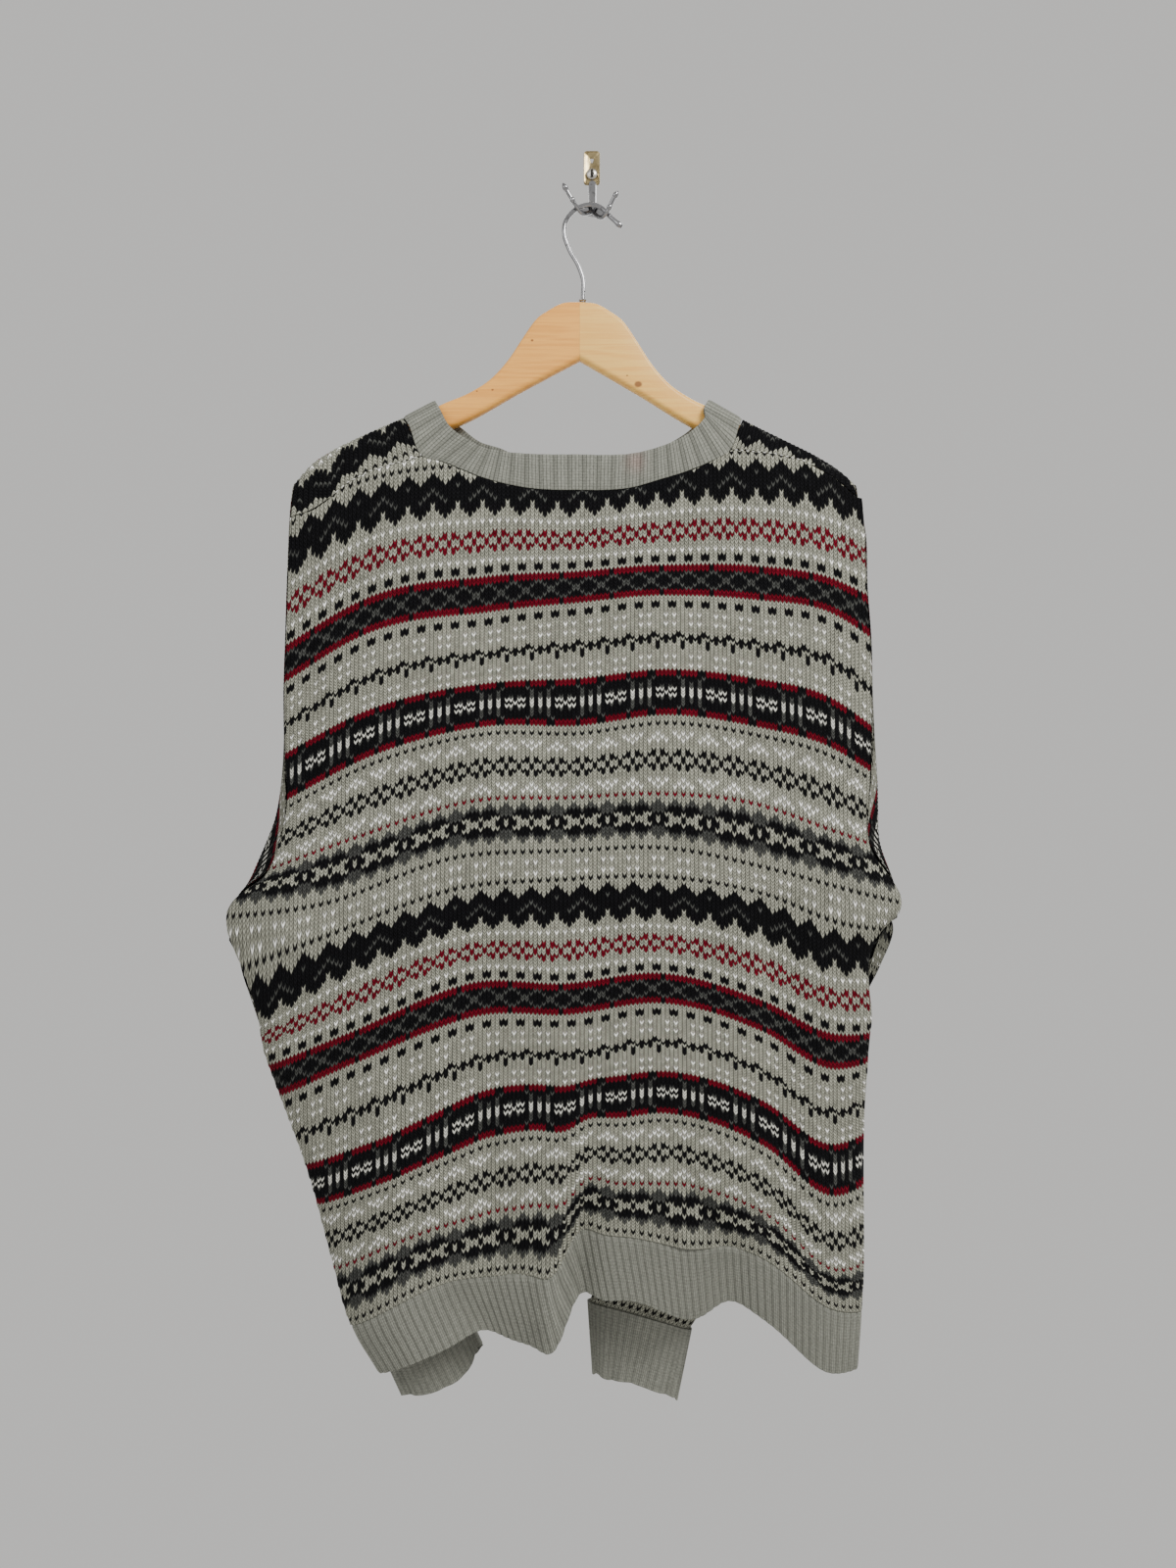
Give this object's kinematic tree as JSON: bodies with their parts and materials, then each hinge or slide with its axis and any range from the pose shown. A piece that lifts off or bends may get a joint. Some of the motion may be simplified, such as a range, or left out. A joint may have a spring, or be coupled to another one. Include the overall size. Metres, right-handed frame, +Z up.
{
  "type": "knitted cardigan on a wooden hanger with a wall hook",
  "caption": "Patterned knitted cardigan, back outwards, with ribbed edges and folded-back sleeves, on a wooden hanger that hangs from a small wall hook.",
  "frame": {"origin": "middle of the hook plate's back, on the wall", "axes": "+Z up, +Y into the wall, +X to the right as seen from the room"},
  "size_m": [0.5282, 0.075, 0.9908],
  "materials": {
    "knit": "wool knit in bands of grey, black, dark red and white",
    "rib": "grey ribbed wool knit",
    "button": "dark, half gloss",
    "wood": "clear lacquer",
    "chrome": "polished",
    "screw": "worn nickel"
  },
  "bodies": {
    "root": {"back": "knit", "left_front": "knit", "right_front": "knit", "left_sleeve": "knit", "right_sleeve": "knit", "left_cuff": "rib", "right_cuff": "rib", "neckband": "rib", "back_hem_rib": "rib", "left_front_hem_rib": "rib", "right_front_hem_rib": "rib", "left_button_band": "rib", "right_button_band": "rib", "button_1": "button", "button_2": "button", "button_3": "button", "button_4": "button", "button_5": "button", "button_6": "button", "hanger_left": "wood", "hanger_right": "wood", "hanger_wire": "chrome", "wall_hook": "chrome", "wall_screw": "screw"}
  },
  "joints": []
}
